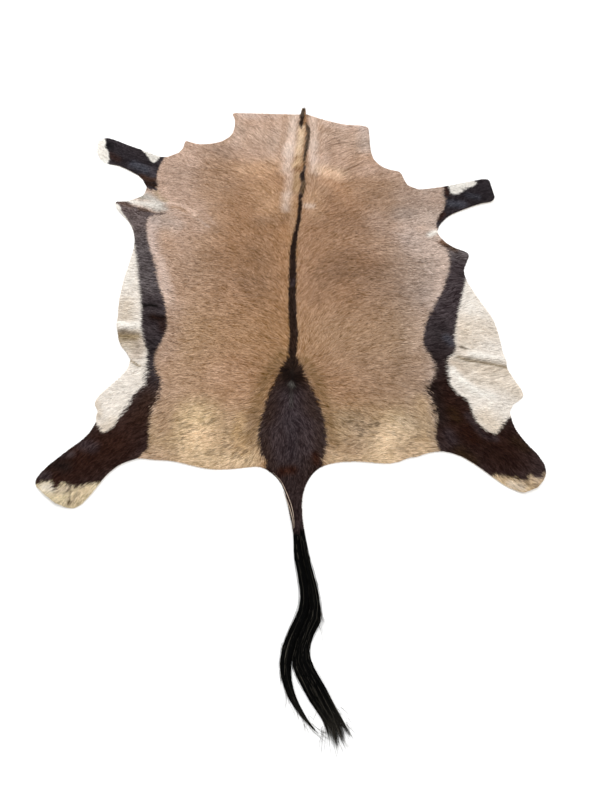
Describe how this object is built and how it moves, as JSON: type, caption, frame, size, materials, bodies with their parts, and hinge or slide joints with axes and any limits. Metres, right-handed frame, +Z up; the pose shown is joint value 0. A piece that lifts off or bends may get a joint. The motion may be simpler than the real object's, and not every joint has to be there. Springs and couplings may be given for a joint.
{
  "type": "oryx hide rug",
  "caption": "Whole tanned oryx hide with its hair on, laid flat: straight neck cut, spread legs, dark flank stripes and a long black tail tuft.",
  "frame": {"origin": "on the surface it rests on, under the middle of the spine, halfway between the neck cut and the tail root", "axes": "+Y along the spine towards the neck, +Z up out of the coat, +X to the right with the tail towards the viewer"},
  "size_m": [1.47, 2.1852, 0.02],
  "materials": {
    "hide_coat": "short dense fawn hair lying flat, with cream and dark brown-black markings, on tanned skin",
    "tail_hair": "long black hair with a soft sheen"
  },
  "bodies": {
    "root": {"hide": "hide_coat", "tail_tuft": "tail_hair"}
  },
  "joints": []
}
